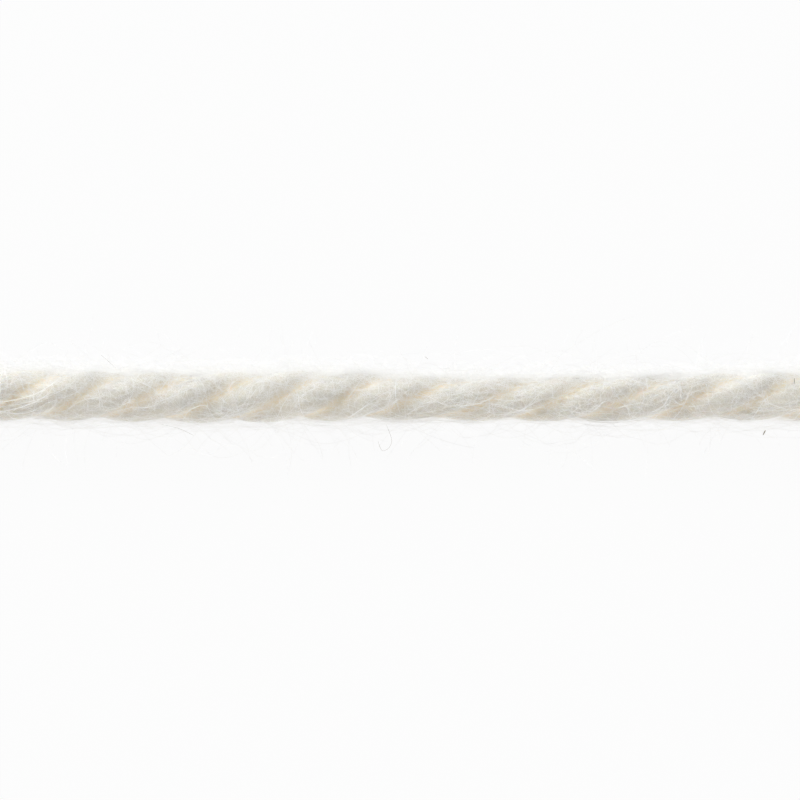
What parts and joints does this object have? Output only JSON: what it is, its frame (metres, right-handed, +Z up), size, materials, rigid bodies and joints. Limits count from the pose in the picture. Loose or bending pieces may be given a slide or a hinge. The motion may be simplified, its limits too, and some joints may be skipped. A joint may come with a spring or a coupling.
{
  "type": "knitting yarn",
  "caption": "Straight cut length of chunky off-white wool knitting yarn, plied with an S twist, soft and slightly uneven, lying on a flat surface.",
  "frame": {"origin": "on the surface that the yarn lies on, under the middle of its box", "axes": "+X along the yarn, +Y across it, +Z up from the surface that it lies on"},
  "size_m": [0.0725, 0.004, 0.0037],
  "materials": {
    "wool": "soft matt undyed wool with loose fine fibres"
  },
  "bodies": {
    "root": {"yarn": "wool"}
  },
  "joints": []
}
